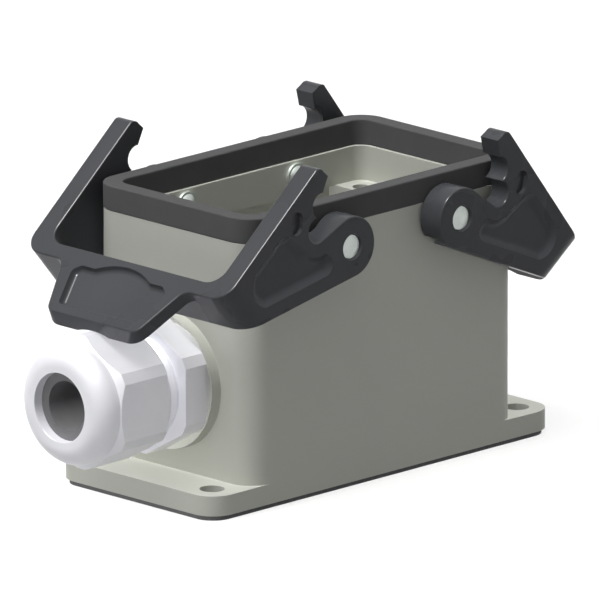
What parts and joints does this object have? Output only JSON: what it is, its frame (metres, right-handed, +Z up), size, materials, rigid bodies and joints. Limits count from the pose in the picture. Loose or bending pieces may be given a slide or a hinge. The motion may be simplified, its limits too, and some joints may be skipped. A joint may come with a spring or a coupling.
{
  "type": "heavy duty connector base",
  "caption": "Rectangular surface-mounted connector base with an open top, rim seal, two hinged locking levers and a hexagonal cable gland in one end.",
  "frame": {"origin": "centre of the four mounting holes on the underside of the base gasket", "axes": "+X along the housing away from the cable gland, +Y across it, +Z up out of the open top"},
  "size_m": [0.1212, 0.055, 0.067],
  "materials": {
    "housing_paint": "light grey powder coat on die-cast aluminium, satin with a fine grain",
    "seal_rubber": "black moulded rubber, matt",
    "gasket_rubber": "black sheet rubber, matt",
    "lever_plastic": "black glass-filled nylon, satin with a fine moulded grain",
    "rivet_steel": "stainless steel, fine turned finish",
    "gland_metal": "nickel-plated brass, satin",
    "insert_rubber": "dark grey rubber, matt",
    "cage_plastic": "natural nylon, matt"
  },
  "bodies": {
    "base": {"housing": "housing_paint", "base_gasket": "gasket_rubber", "rim_seal": "seal_rubber", "rivet_gland_near": "rivet_steel", "rivet_gland_far": "rivet_steel", "rivet_end_near": "rivet_steel", "rivet_end_far": "rivet_steel", "washer_gland_near": "rivet_steel", "washer_gland_far": "rivet_steel", "washer_end_near": "rivet_steel", "washer_end_far": "rivet_steel", "gland_body": "gland_metal", "gland_ring": "insert_rubber"},
    "gland_side_lever": {"gland_side_lever": "lever_plastic"},
    "far_side_lever": {"far_side_lever": "lever_plastic"},
    "gland_clamp": {"gland_cage": "cage_plastic", "gland_insert": "insert_rubber"},
    "gland_cap": {"gland_cap": "gland_metal"}
  },
  "joints": [
    {"name": "gland_side_lever_hinge", "type": "hinge", "parent": "base", "child": "gland_side_lever", "pos_m": [-0.0149, 0, 0.0499], "axis": [0, 1, 0], "range_deg": [0, 40.5]},
    {"name": "far_side_lever_hinge", "type": "hinge", "parent": "base", "child": "far_side_lever", "pos_m": [0.0149, 0, 0.0499], "axis": [0, -1, 0], "range_deg": [-4, 52.6]},
    {"name": "gland_clamp_slide", "type": "slide", "parent": "base", "child": "gland_clamp", "axis": [-1, 0, 0], "range_m": [0, 0.00226]},
    {"name": "gland_cap_turn", "type": "hinge", "parent": "gland_clamp", "child": "gland_cap", "pos_m": [-0.0575, 0, 0.0228], "axis": [-1, 0, 0], "range_deg": [0, 540]}
  ],
  "couplings": [
    {"joint": "gland_clamp_slide", "follows": "gland_cap_turn", "m_per_rad": 0.00023873}
  ]
}
